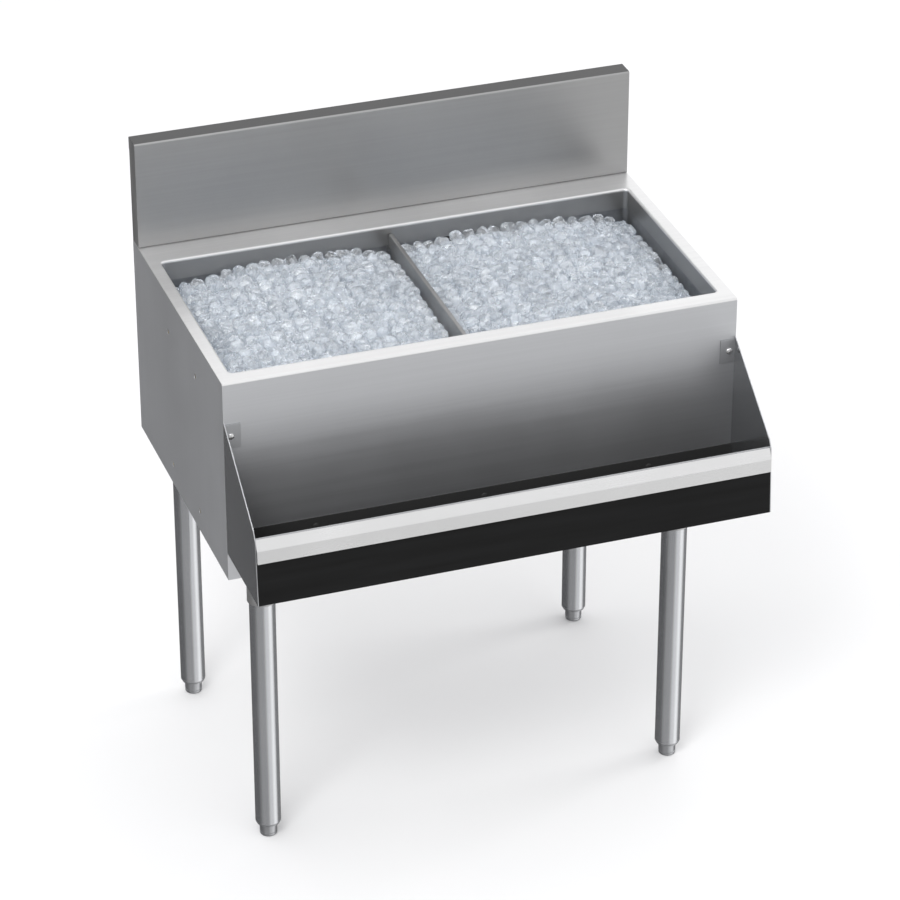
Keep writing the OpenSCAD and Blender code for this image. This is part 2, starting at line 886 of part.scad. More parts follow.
module rail_trough() {
    color(black)
    difference() {
        run_x([-rail_in_w / 2, rail_in_w / 2]) {
            translate([apron_y - sheet_t, rail_z])
                square([sheet_t, rail_back_h]);
            translate([rail_y, rail_z])
                square([rail_reach, sheet_t]);
            polygon([[rail_y, rail_z], [rail_y + sheet_t, rail_z],
                [wall_set(lip_mid_z) + sheet_t, lip_mid_z], [wall_set(lip_mid_z), lip_mid_z]]);
        }
        rail_screw_holes(rail_shank_l);
    }
}

module rail_lip() {
    color(steel_bright)
    run_x([-rail_in_w / 2, rail_in_w / 2])
        polygon([[wall_set(lip_z), lip_z], [wall_set(lip_z) - lip_out, lip_z],
            [wall_set(lip_mid_z) - lip_out, lip_mid_z],
            [wall_set(lip_mid_z) - lip_out + lip_slope, lip_top_z],
            [wall_set(lip_mid_z) - lip_out + lip_slope + lip_t, lip_top_z],
            [wall_set(lip_mid_z) + sheet_t, lip_mid_z], [wall_set(lip_mid_z), lip_mid_z]]);
}

module rail_end(side) {
    face = side * half_w;
    back = side * (half_w - sheet_t);
    inner = side * (half_w - tab_w);
    color(steel)
    difference() {
        union() {
            run_x([min(face, back), max(face, back)])
                polygon([[apron_y, rail_z], [rail_y, rail_z], [rail_y + lip_slope, lip_top_z],
                    [rail_y + 2 * lip_slope, plate_nose_z], [apron_y, plate_top_z]]);
            slab([min(face, inner), max(face, inner)], [apron_y - sheet_t, apron_y], [tab_z, tab_z + tab_h]);
        }
        rail_screw_holes(rail_shank_l);
    }
}

// Height of an ice heap at a place given in shares of its width and depth
function ice_fall(falls, u, v) = falls[0] * pow(1 - u, ice_edge_power) + falls[1] * pow(u, ice_edge_power)
    + falls[2] * pow(1 - v, ice_edge_power) + falls[3] * pow(v, ice_edge_power)
    + falls[4] * pow(u * v, ice_corner_power);

// A heap whose top is cells of about one piece of ice: a tilted flat face, and slopes down to the gaps
module ice_heap(x, y, drop, falls, seed) {
    nx = max(4, round((x[1] - x[0]) / ice_piece));
    ny = max(4, round((y[1] - y[0]) / ice_piece));
    step = [(x[1] - x[0]) / nx, (y[1] - y[0]) / ny];
    chances = rands(-1, 1, ice_chances * (nx + 1) * (ny + 1), seed);
    low = floor_z + ice_seat_gap;
    function at(i, j) = i * (ny + 1) + j;
    function chance(i, j, k) = chances[ice_chances * at(i, j) + k];
    function inside(i, n) = i > 0 && i < n ? ice_shift_share : 0;
    function heap_top(p) = rim_h - drop
        - ice_fall(falls, (p[0] - x[0]) / (x[1] - x[0]), (p[1] - y[0]) / (y[1] - y[0]));
    function corner(i, j) = [x[0] + step[0] * (i + inside(i, nx) * chance(i, j, 0)),
        y[0] + step[1] * (j + inside(j, ny) * chance(i, j, 1))];
    function gap_point(i, j) = let (p = corner(i, j))
        concat(p, heap_top(p) - ice_groove * (1 + ice_groove_change_share * chance(i, j, 2)));
    function face_points(i, j) = let (
        corners = [corner(i, j), corner(i + 1, j), corner(i + 1, j + 1), corner(i, j + 1)],
        middle = (corners[0] + corners[1] + corners[2] + corners[3]) / len(corners),
        share = ice_top_share + ice_top_change_share * chance(i, j, 3),
        spin = ice_spin * chance(i, j, 4),
        tilt = ice_tilt_share * [chance(i, j, 5), chance(i, j, 6)],
        high = heap_top(middle) - ice_sink * (1 + chance(i, j, 7)) / 2)
        [for (p = corners) let (d = share * (p - middle),
            turned = [d[0] * cos(spin) - d[1] * sin(spin), d[0] * sin(spin) + d[1] * cos(spin)])
            concat(middle + turned, high + tilt * turned)];
    gaps = [for (i = [0:nx], j = [0:ny]) gap_point(i, j)];
    tops = [for (i = [0:nx - 1], j = [0:ny - 1]) each face_points(i, j)];
    edge = concat([for (i = [0:nx - 1]) [i, 0]], [for (j = [0:ny - 1]) [nx, j]],
        [for (i = [nx:-1:1]) [i, ny]], [for (j = [ny:-1:1]) [0, j]]);
    count = len(edge);
    foot = len(gaps) + len(tops);
    middle = foot + count;
    base = concat([for (e = edge) concat(corner(e[0], e[1]), low)],
        [[(x[0] + x[1]) / 2, (y[0] + y[1]) / 2, low]]);
    piece_faces = [for (i = [0:nx - 1], j = [0:ny - 1]) let (
        t = len(gaps) + 4 * (i * ny + j),
        ring = [at(i, j), at(i + 1, j), at(i + 1, j + 1), at(i, j + 1)])
        each concat([[t, t + 3, t + 2], [t, t + 2, t + 1]],
            [for (k = [0:3]) let (next = (k + 1) % 4)
                each [[ring[k], t + k, t + next], [ring[k], t + next, ring[next]]]])];
    wall_faces = [for (k = [0:count - 1]) let (a = edge[k], b = edge[(k + 1) % count], next = (k + 1) % count)
        each [[at(a[0], a[1]), at(b[0], b[1]), foot + next], [at(a[0], a[1]), foot + next, foot + k],
            [foot + k, foot + next, middle]]];
    polyhedron(points = concat(gaps, tops, base), faces = concat(piece_faces, wall_faces));
}

module ice_left() {
    color(ice_tint)
    ice_heap([ice_wall_gap - mouth_x, divider_x - ice_divider_gap], ice_y, ice_left_drop, ice_left_falls,
        ice_left_seed);
}

module ice_right() {
    color(ice_tint)
    ice_heap([divider_x + ice_divider_gap, mouth_x - ice_wall_gap], ice_y, ice_right_drop, ice_right_falls,
        ice_right_seed);
}

front_apron();
rim_frame();
side_panel(-1);  // left_side_panel
side_panel(1);  // right_side_panel
rear_panel();
bottom_pan();
bin_liner();
foam_front();
foam_rear();
foam_side(-1);  // foam_left
foam_side(1);  // foam_right
foam_bottom();
backsplash();
splash_stiffener();
wall_clips();
port_plug(-1);  // port_plug_left
port_plug(1);  // port_plug_right
divider_plate();
divider_guide(liner_front, 1);  // divider_guide_front
divider_guide(liner_rear, -1);  // divider_guide_rear
drain_body();
drain_gasket();
drain_strainer();
drain_locknut();
support_channel(leg_x_left);  // support_channel_left
support_channel(leg_x_right);  // support_channel_right
leg_socket(leg_places[0]);  // leg_socket_front_left
leg_socket(leg_places[1]);  // leg_socket_front_right
leg_socket(leg_places[2]);  // leg_socket_rear_left
leg_socket(leg_places[3]);  // leg_socket_rear_right
leg(leg_places[0]);  // leg_front_left
leg(leg_places[1]);  // leg_front_right
leg(leg_places[2]);  // leg_rear_left
leg(leg_places[3]);  // leg_rear_right
ferrule(leg_places[0]);  // ferrule_front_left
ferrule(leg_places[1]);  // ferrule_front_right
ferrule(leg_places[2]);  // ferrule_rear_left
ferrule(leg_places[3]);  // ferrule_rear_right
foot(leg_places[0]);  // foot_front_left
foot(leg_places[1]);  // foot_front_right
foot(leg_places[2]);  // foot_rear_left
foot(leg_places[3]);  // foot_rear_right
socket_screws();
socket_bolts();
bottom_screws();
rail_trough();
rail_lip();
rail_end(-1);  // rail_end_left
rail_end(1);  // rail_end_right
rail_screws();
ice_left();
ice_right();
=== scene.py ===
"""The looks of an underbar ice bin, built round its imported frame."""
import math

import bmesh
import bpy
import numpy as np
from mathutils import Matrix, Vector, noise


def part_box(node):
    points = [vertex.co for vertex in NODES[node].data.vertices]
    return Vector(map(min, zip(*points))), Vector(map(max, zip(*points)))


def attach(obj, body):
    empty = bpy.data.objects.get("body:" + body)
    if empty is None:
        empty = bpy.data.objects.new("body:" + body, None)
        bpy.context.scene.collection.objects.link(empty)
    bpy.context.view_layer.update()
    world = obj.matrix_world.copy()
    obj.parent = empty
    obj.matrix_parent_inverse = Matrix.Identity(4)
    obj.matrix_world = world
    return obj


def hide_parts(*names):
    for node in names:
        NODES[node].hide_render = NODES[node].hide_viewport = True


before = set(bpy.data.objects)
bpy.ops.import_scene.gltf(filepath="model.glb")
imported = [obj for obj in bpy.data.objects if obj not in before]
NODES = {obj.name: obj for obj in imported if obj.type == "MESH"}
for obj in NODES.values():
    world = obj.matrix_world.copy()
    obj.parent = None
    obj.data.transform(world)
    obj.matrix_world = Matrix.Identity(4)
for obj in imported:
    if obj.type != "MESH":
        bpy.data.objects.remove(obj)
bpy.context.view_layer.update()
CORNERS = ("front_left", "front_right", "rear_left", "rear_right")
MM = 0.001
# Points closer than the first are one point, and places closer than the second are one place
JOINED = 0.01 * MM
CLOSE = 0.001 * MM

# Camera: where the photograph was taken from, and the point and lens that fill the frame
CAMERA_AT = (-1.625, -4.661, 3.386)
CAMERA_TO = (0.010, 0.019, 0.5055)
CAMERA_LENS = 156.6
CAMERA_SENSOR = 36
CAMERA_REACH = 60

# Lights: name, place, width and height, and power, all turned to one point
LIGHTS_TO = (0, 0, 0.6)
LIGHTS = (("key", (-1.8, -2.2, 3.6), (1.6, 1.2), 60),
          ("fill", (3.4, 0.4, 2.6), (1.2, 1.2), 25))
FLOOR_HALF = 14.0

# Surroundings: the sky's brightness by height, from straight down at 0 to straight up at 1
SKY = ((0.0, 0.16), (0.35, 0.26), (0.5, 0.55), (0.60, 0.80), (0.78, 1.0), (1.0, 1.0))
SKY_BLUE = 1.01
# Soft patches that the steel mirrors: azimuth from the front towards the right, elevation,
# how wide each reaches and how wide its full middle is, in degrees, and its strength, which
# is below 0 where a patch darkens
PATCHES = ((36, -32, 42, 12, 0.60), (20, 12, 40, 12, 0.22), (-60, 20, 45, 15, 0.35),
           (160, 32, 35, 10, 0.25), (58, -30, 24, 8, 0.45), (-30, -30, 42, 15, 0.10),
           (-130, -30, 55, 25, -0.14))


def set_view():
    """Plain colours, so that the white floor stays white."""
    bpy.context.scene.view_settings.view_transform = "Standard"
    bpy.context.scene.view_settings.look = "None"


def show(name, data):
    """Puts a mesh, a light or a camera into the scene."""
    obj = bpy.data.objects.new(name, data)
    bpy.context.scene.collection.objects.link(obj)
    return obj


def aim(obj, at, to):
    """Places a light or a camera and turns it to a point."""
    obj.location = at
    obj.rotation_mode = "QUATERNION"
    obj.rotation_quaternion = (Vector(to) - Vector(at)).to_track_quat("-Z", "Y")


def make_camera():
    data = bpy.data.cameras.new("camera")
    data.lens = CAMERA_LENS
    data.sensor_width = CAMERA_SENSOR
    data.clip_end = CAMERA_REACH
    camera = show("camera", data)
    aim(camera, CAMERA_AT, CAMERA_TO)
    bpy.context.scene.camera = camera


# Node helpers
class Tree:
    """A node tree, with short names for what the looks below use."""

    def __init__(self, tree, coordinates):
        self.tree = tree
        self.place = self.new("ShaderNodeTexCoord").outputs[coordinates]

    def new(self, kind, **settings):
        node = self.tree.nodes.new(kind)
        for key, value in settings.items():
            setattr(node, key, value)
        return node

    def put(self, value, socket):
        """Links an output, or sets a plain value."""
        if isinstance(value, bpy.types.NodeSocket):
            self.tree.links.new(value, socket)
        else:
            socket.default_value = value

    def math(self, operation, a, b=0.0):
        node = self.new("ShaderNodeMath", operation=operation)
        self.put(a, node.inputs[0])
        self.put(b, node.inputs[1])
        return node.outputs[0]

    def vector(self, operation, output, **values):
        """A vector node, whose inputs are given by a, b and scale."""
        node = self.new("ShaderNodeVectorMath", operation=operation)
        sockets = {"a": 0, "b": 1, "scale": 3}
        for key, value in values.items():
            self.put(value, node.inputs[sockets[key]])
        return node.outputs[output]

    def span(self, value, low, high, to_low=0.0, to_high=1.0, smooth=False):
        """Maps one range onto another, and holds what lies outside at its ends."""
        kind = "SMOOTHSTEP" if smooth else "LINEAR"
        node = self.new("ShaderNodeMapRange", interpolation_type=kind)
        for key, given in (("Value", value), ("From Min", low), ("From Max", high),
                           ("To Min", to_low), ("To Max", to_high)):
            self.put(given, node.inputs[key])
        return node.outputs["Result"]

    def axis(self, letter, vector=None):
        """One coordinate of a vector, or else of the place."""
        node = self.new("ShaderNodeSeparateXYZ")
        self.put(self.place if vector is None else vector, node.inputs[0])
        return node.outputs[letter]


class Shader(Tree):
    """A material's node tree."""

    def __init__(self, name):
        self.material = bpy.data.materials.new(name)
        self.material.use_nodes = True
        super().__init__(self.material.node_tree, "Object")
        self.base = self.tree.nodes["Principled BSDF"]

    def noise(self, scale, detail=2.0, rough=0.5, stretch=(1, 1, 1)):
        mapping = self.new("ShaderNodeMapping")
        self.put(self.place, mapping.inputs["Vector"])
        self.put(stretch, mapping.inputs["Scale"])
        node = self.new("ShaderNodeTexNoise")
        for key, given in (("Vector", mapping.outputs["Vector"]), ("Scale", scale),
                           ("Detail", detail), ("Roughness", rough)):
            self.put(given, node.inputs[key])
        return node.outputs["Fac"]

    def mix(self, factor, a, b):
        node = self.new("ShaderNodeMix", data_type="RGBA")
        for key, given in (("Factor", factor), ("A", a), ("B", b)):
            self.put(given, node.inputs[key])
        return node.outputs["Result"]

    def bump(self, height, strength, distance):
        node = self.new("ShaderNodeBump")
        for key, given in (("Strength", strength), ("Distance", distance), ("Height", height)):
            self.put(given, node.inputs[key])
        self.put(node.outputs["Normal"], self.base.inputs["Normal"])

    def set(self, **values):
        """Sets inputs of the material by their names, with _ for a space."""
        for key, value in values.items():
            self.put(value, self.base.inputs[key.replace("_", " ")])


# Materials
NEUTRAL = (1.0, 1.0, 1.0)
COOL = (0.975, 0.99, 1.02)
# The range that most of a noise lies in
MIDDLE = (0.3, 0.7)


def grey(level, tint=NEUTRAL):
    return (level * tint[0], level * tint[1], level * tint[2], 1.0)


# Brushed steel: its grain runs along one axis, with few changes along it and many across it
GRAINS = {"X": (0.01, 1, 1), "Y": (1, 0.01, 1), "Z": (1, 1, 0.01)}
FINE_GRAIN = 280.0
COARSE_GRAIN = 90.0
FINE_SHARE = 0.6
GRAIN_DEPTH = 0.02 * MM
WIPED = 5.0
STAINED = 38.0
ROUGH_CHANGE = 0.02
# How far above and below its line a painted shade fades in
FADE_ABOVE = 0.2 * MM
FADE_BELOW = 2.0 * MM
# A face counts as a front once its normal turns past these shares of the way there
FRONT_FROM = 0.4
FRONT_AT = 0.6


def brushed(name, level, rough, grain="X", tint=COOL, streak=0.05, cloud=0.05, stains=0.0,
            anisotropy=0.6, metal=0.86, relief=0.1, rough_front=None, painted_shade_above=None,
            painted_shade_below=None, painted_shade_level=0.0):
    """Brushed stainless, with grain in its colour and roughness, clouded by wiping, and with
    painted shade past given heights.

    Highlights spread across the grain: the tangent is turned about the grain's axis.
    """
    s = Shader(name)
    fine = s.noise(FINE_GRAIN, detail=1.0, stretch=GRAINS[grain])
    coarse = s.noise(COARSE_GRAIN, detail=1.0, stretch=GRAINS[grain])
    clouds = s.noise(WIPED, detail=3.0, rough=0.55)
    grained = s.math("ADD", s.math("MULTIPLY", fine, FINE_SHARE),
                     s.math("MULTIPLY", coarse, 1 - FINE_SHARE))
    light = s.math("ADD", s.span(grained, *MIDDLE, 1 - streak, 1 + streak),
                   s.span(clouds, *MIDDLE, -cloud, cloud))
    if stains:
        spots = s.noise(STAINED, detail=4.0, rough=0.65)
        light = s.math("ADD", light, s.span(spots, low=0.42, high=0.62, to_low=-stains,
                                            to_high=stains, smooth=True))
    colour = s.vector("SCALE", "Vector", a=grey(level, tint)[:3], scale=light)
    # Painted shade: the colour turns darker above one given height and below another
    if painted_shade_above:
        above = s.span(s.axis("Z"), painted_shade_above - FADE_ABOVE, painted_shade_above)
        colour = s.mix(above, colour, grey(painted_shade_level, tint))
    if painted_shade_below:
        below = s.span(s.axis("Z"), painted_shade_below, painted_shade_below - FADE_BELOW)
        colour = s.mix(below, colour, grey(painted_shade_level, tint))
    if rough_front:
        normal = s.new("ShaderNodeTexCoord").outputs["Normal"]
        facing = s.math("ABSOLUTE", s.axis("Y", normal))
        rough = s.span(facing, FRONT_FROM, FRONT_AT, rough, rough_front)
    change = s.math("ADD", s.span(grained, *MIDDLE, -ROUGH_CHANGE, ROUGH_CHANGE),
                    s.span(clouds, low=0.35, high=0.65, to_low=-ROUGH_CHANGE,
                           to_high=ROUGH_CHANGE))
    way = s.new("ShaderNodeTangent", direction_type="RADIAL", axis=grain)
    s.set(Base_Color=colour, Metallic=metal, Roughness=s.math("ADD", rough, change),
          Anisotropic=anisotropy, Tangent=way.outputs["Tangent"])
    if relief:
        s.bump(coarse, relief, GRAIN_DEPTH)
    return s.material


# Trough: its near-black is a painted dark reflection. Its rear wall is painted lighter than the
# rest as painted light, and begins this far in front of the trough's back
RAIL_WALL_DEPTH = 18.5 * MM
RAIL_WALL_FADE = 2 * MM
RAIL_WALL_PAINTED_LIGHT = 0.045
PEEL_DEPTH = 0.05 * MM


def rail_black_painted_reflection(name, level, rough):
    """Near-black steel whose black is a painted dark reflection and whose rear wall carries painted
    light, with an orange-peel skin and faint wiping marks along the rail.
    """
    s = Shader(name)
    peel = s.noise(scale=700.0)
    wipes = s.noise(scale=60.0, detail=3.0, rough=0.6, stretch=(0.06, 1, 1))
    clouds = s.noise(scale=9.0, detail=3.0, rough=0.6)
    colour = s.mix(s.span(wipes, low=0.35, high=0.7), grey(level * 0.85), grey(level * 1.35, COOL))
    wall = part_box("rail_trough")[1].y - RAIL_WALL_DEPTH
    painted_light_wall = s.span(s.axis("Y"), wall - RAIL_WALL_FADE, wall)
    uneven = s.math("ADD", s.span(clouds, *MIDDLE, to_low=rough - 0.05, to_high=rough + 0.07),
                    s.span(wipes, *MIDDLE, to_low=-0.04, to_high=0.04))
    s.set(Base_Color=s.mix(painted_light_wall, colour, grey(RAIL_WALL_PAINTED_LIGHT)), Metallic=0.0,
          Specular_IOR_Level=0.12, Roughness=uneven)
    s.bump(peel, strength=0.2, distance=PEEL_DEPTH)
    return s.material


def rubber(name, level):
    """Dull black rubber, paler where dust lies on it."""
    s = Shader(name)
    grain = s.noise(scale=1500.0, detail=3.0, rough=0.6)
    dust = s.noise(scale=30.0, detail=3.0, rough=0.6)
    dusty = s.span(dust, low=0.4, high=0.75)
    s.set(Base_Color=s.mix(dusty, grey(level), grey(level * 2.2)), Roughness=0.62)
    s.bump(grain, strength=0.3, distance=0.05 * MM)
    return s.material


FOAM_DARK = (0.80, 0.70, 0.42, 1)
FOAM_LIGHT = (0.92, 0.84, 0.60, 1)


def foam(name):
    """Yellow insulating foam with fine cells."""
    s = Shader(name)
    cells = s.new("ShaderNodeTexVoronoi")
    s.put(s.place, cells.inputs["Vector"])
    s.put(900.0, cells.inputs["Scale"])
    distance = cells.outputs["Distance"]
    shade = s.span(distance, low=0.0, high=0.9)
    s.set(Base_Color=s.mix(shade, FOAM_DARK, FOAM_LIGHT), Roughness=0.9)
    s.bump(distance, strength=0.6, distance=0.3 * MM)
    return s.material


ICE_IOR = 1.31
# Painted light: a faint glow in every piece, standing in for light that reaches a piece of ice
# through the ones round it
ICE_PAINTED_GLOW = 0.024
ICE_PAINTED_GLOW_TINT = (0.88, 0.97, 1.10)
ICE_CLEAR = (0.97, 0.985, 1.0, 1)
ICE_CLOUDY = (0.89, 0.925, 0.965, 1)
ICE_PACKED_DARK = (0.86, 0.88, 0.90, 1)
ICE_PACKED_LIGHT = (0.95, 0.965, 0.98, 1)


def ice_shader(name):
    """A material with what both kinds of ice share, with a painted glow."""
    s = Shader(name)
    s.set(Emission_Color=grey(1.0, ICE_PAINTED_GLOW_TINT), Emission_Strength=ICE_PAINTED_GLOW, IOR=ICE_IOR)
    return s


def clear_ice(name):
    """Wet ice: clear skins, cloudy hearts and small surface waves."""
    s = ice_shader(name)
    cloud = s.noise(scale=75.0, detail=3.0, rough=0.6)
    waves = s.noise(scale=240.0)
    heart = s.span(cloud, low=0.38, high=0.62, smooth=True)
    s.set(Base_Color=s.mix(heart, ICE_CLEAR, ICE_CLOUDY),
          Roughness=s.span(heart, 0.0, 1.0, to_low=0.02, to_high=0.10),
          Transmission_Weight=s.span(heart, 0.0, 1.0, to_low=0.94, to_high=0.68))
    s.bump(waves, strength=0.5, distance=0.6 * MM)
    return s.material


def packed_ice(name):
    """The ice further down, which shows only as a bright clouded bed."""
    s = ice_shader(name)
    lumps = s.noise(scale=85.0, detail=3.0, rough=0.6)
    shade = s.span(lumps, low=0.35, high=0.65)
    s.set(Base_Color=s.mix(shade, ICE_PACKED_DARK, ICE_PACKED_LIGHT), Roughness=0.22)
    s.bump(lumps, strength=0.6, distance=3 * MM)
    return s.material


# Mesh helpers
def piece(name, mesh, material, node, body="bin"):
    """Adds a mesh as a piece of a body, which stands for a CAD node."""
    obj = show(name, mesh)
    obj.data.materials.append(material)
    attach(obj, body)
    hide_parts(node)
    return obj


def mesh_of(name, points, faces, smooth=True):
    mesh = bpy.data.meshes.new(name)
    mesh.from_pydata([tuple(p) for p in points], [], [tuple(f) for f in faces])
    mesh.validate()
    mesh.polygons.foreach_set("use_smooth", [smooth] * len(mesh.polygons))
    return mesh


def from_bmesh(name, bm, smooth_angle):
    """A mesh whose edges stay sharp past an angle in degrees."""
    mesh = bpy.data.meshes.new(name)
    bmesh.ops.recalc_face_normals(bm, faces=bm.faces)
    bm.to_mesh(mesh)
    bm.free()
    mesh.polygons.foreach_set("use_smooth", [True] * len(mesh.polygons))
    mesh.set_sharp_from_angle(angle=math.radians(smooth_angle))
    return mesh


def joined_mesh(node):
    """A CAD node's mesh with its faces joined at their shared points."""
    bm = bmesh.new()
    bm.from_mesh(NODES[node].data)
    bmesh.ops.remove_doubles(bm, verts=bm.verts, dist=JOINED)
    return bm


def round_steps(count):
    """The angles of a circle's points."""
    return [2 * math.pi * k / count for k in range(count)]


def dress(material, nodes):
    """Gives CAD nodes a material."""
    for node in nodes:
        materials = NODES[node].data.materials
        materials.clear()
        materials.append(material)


def at_corners(stem):
    """The names of the four nodes that stand at the corners."""
    return tuple(stem + corner for corner in CORNERS)


EDGE_ROUND = 0.35 * MM
EDGE_ANGLE = math.radians(35)
EDGE_JOINED = 0.002 * MM


def even_normals(obj):
    """Keeps large faces flat where they meet a rounded edge."""
    smooth = obj.modifiers.new("even_normals", "WEIGHTED_NORMAL")
    smooth.keep_sharp = True


def round_edges(*nodes):
    """Joins CAD nodes' faces and rounds their sharp edges, as deburred sheet has."""
    for node in nodes:
        obj = NODES[node]
        weld = obj.modifiers.new("join_faces", "WELD")
        weld.merge_threshold = EDGE_JOINED
        bevel = obj.modifiers.new("round_edges", "BEVEL")
        bevel.width = EDGE_ROUND
        bevel.segments = 2
        bevel.limit_method = "ANGLE"
        bevel.angle_limit = EDGE_ANGLE
        bevel.harden_normals = False
        even_normals(obj)


# Ice
# A CAD face lies on top of a piece where its normal rises past the first share. A point lies in
# a gap between pieces where this many faces meet and all of them rise past the second.
ICE_TOP_RISE = 0.87
ICE_GAP_FACES = 8
ICE_GAP_RISE = 0.02
# A top's share of its piece's width, and how finely upper and lower pieces are divided
ICE_TOP_SHARE = 0.6
ICE_CUTS = 4
ICE_LOWER_CUTS = 2
# Chance in a piece: the ranges of its size, its width and depth and its thickness, and how far
# it shifts and leans
ICE_SIZE = (0.90, 1.08)
ICE_WIDTH = (0.88, 1.08)
ICE_THICK = (0.82, 1.02)
ICE_SHIFT = 0.8 * MM
ICE_LEAN = 0.25
# Pieces of the lower layer, and how far down it lies
LOWER_SHIFT = 3 * MM
LOWER_LEAN = 0.3
LOWER_DEPTH = 13 * MM
# Smaller pieces in the gaps, with their rise in millimetres
FILLER_SIZE = (13 * MM, 17 * MM)
FILLER_WIDTH = (0.85, 1.1)
FILLER_SHIFT = 1.5 * MM
FILLER_RISE_MM = (1.0, 4.0)
FILLER_LEAN = 0.3
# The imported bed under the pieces
BED_STEPS = 34
BED_INSET = 2 * MM
BED_DEPTH = 22 * MM
BED_NEAR = 4
BED_LUMP = 5 * MM
BED_LUMP_SCALE = 60
# Forms of a piece: how square it is, its dimple, taper, bend and melted unevenness.
# They are dimpled cubes, plain lumps and half moons.
ICE_FORMS = ((3.4, 0.50, 0.06, 0.00, 0.10), (2.8, 0.30, 0.10, 0.00, 0.14),
             (4.2, 0.62, 0.04, 0.00, 0.08), (2.6, 0.00, 0.12, 0.00, 0.18),
             (3.0, 0.15, 0.00, 0.30, 0.14), (3.6, 0.40, 0.14, 0.00, 0.10),
             (2.4, 0.20, 0.00, 0.18, 0.20), (3.2, 0.00, 0.00, 0.10, 0.12))
DIMPLE_NARROW = 4.5
BEND_MIDDLE = 0.3
MELT_SCALE = 1.2
MELT_SHIFTS = (7.31, 3.17, 1.73)
# Blender's vector noise takes its state from the clock unless it gets a seed
MELT_SEED = 1795851036


def ice_faces(node):
    """The tops of a CAD heap's pieces, as centre, normal and width, and its gaps' points."""
    bm = joined_mesh(node)
    found = []
    for edge in bm.edges:
        faces = edge.link_faces
        if len(faces) == 2 and all(f.normal.z > ICE_TOP_RISE for f in faces):
            points = {v.index: v.co for f in faces for v in f.verts}.values()
            centre = sum(points, Vector()) / len(points)
            width = math.sqrt(sum(f.calc_area() for f in faces))
            found.append((centre, (faces[0].normal + faces[1].normal).normalized(), width))
    gaps = [v.co.copy() for v in bm.verts if len(v.link_faces) >= ICE_GAP_FACES
            and all(f.normal.z > ICE_GAP_RISE for f in v.link_faces)]
    bm.free()
    return found, gaps


def rounded(cuts, seed, power, dimple, taper, bend, rough):
    """A piece 2 units wide: a rounded cube, dimpled on top, tapered or bent, and melted."""
    bm = bmesh.new()
    bmesh.ops.create_cube(bm, size=2.0)
    bmesh.ops.subdivide_edges(bm, edges=bm.edges[:], cuts=cuts, use_grid_fill=True)
    shift = Vector([seed * step for step in MELT_SHIFTS])
    for v in bm.verts:
        d = v.co.normalized()
        p = d * (abs(d.x) ** power + abs(d.y) ** power + abs(d.z) ** power) ** (-1 / power)
        if p.z > 0:
            p.z -= dimple * math.exp(-DIMPLE_NARROW * (p.x ** 2 + p.y ** 2))
        p.x *= 1 - taper * p.z
        p.y *= 1 - taper * p.z
        p.y += bend * (p.x ** 2 - BEND_MIDDLE)
        v.co = p + rough * noise.noise_vector(p * MELT_SCALE + shift)
    bmesh.ops.recalc_face_normals(bm, faces=bm.faces)
    points = np.array([v.co[:] for v in bm.verts])
    faces = np.array([[v.index for v in f.verts] for f in bm.faces])
    bm.free()
    points -= (points.max(0) + points.min(0)) / 2
    return points / np.abs(points).max(0), faces


def ice_forms(cuts):
    return [rounded(cuts, seed, *form) for seed, form in enumerate(ICE_FORMS)]


def chance_vector(rng):
    return Vector((rng.normal(), rng.normal(), rng.normal()))


def turn_matrix(axis, spin, lean, rng):
    """A turn that sets a piece on its axis, spun about it and leaning a little at random."""
    side = Vector((rng.normal(), rng.normal(), 0.0)).normalized()
    turn = Vector((0, 0, 1)).rotation_difference(axis).to_matrix()
    return np.array(turn @ Matrix.Rotation(lean, 3, side) @ Matrix.Rotation(spin, 3, "Z"))


class Heap:
    """Collects pieces of ice into one mesh, kept inside their compartment."""

    def __init__(self, node, name, rng):
        self.node = node
        self.name = name
        self.low, self.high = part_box(node)
        self.rng = rng
        self.points, self.faces, self.count = [], [], 0

    def add(self, forms, top, axis, size, lean):
        """Puts a piece under a point, with its top there."""
        rng = self.rng
        form, form_faces = forms[rng.integers(len(forms))]
        turn = turn_matrix(axis, rng.uniform(0, 2 * math.pi), rng.normal() * lean, rng)
        made = (form * np.array(size) / 2) @ turn.T
        made += np.array(top) - np.array((0, 0, made[:, 2].max()))
        for k in range(2):
            over = made[:, k].max() - self.high[k]
            under = self.low[k] - made[:, k].min()
            made[:, k] -= max(over, 0) - max(under, 0)
        self.points.append(made)
        self.faces.append(form_faces + self.count)
        self.count += len(made)

    def finish(self, material):
        mesh = mesh_of(self.name, np.concatenate(self.points), np.concatenate(self.faces))
        piece(self.name, mesh, material, node=self.node)


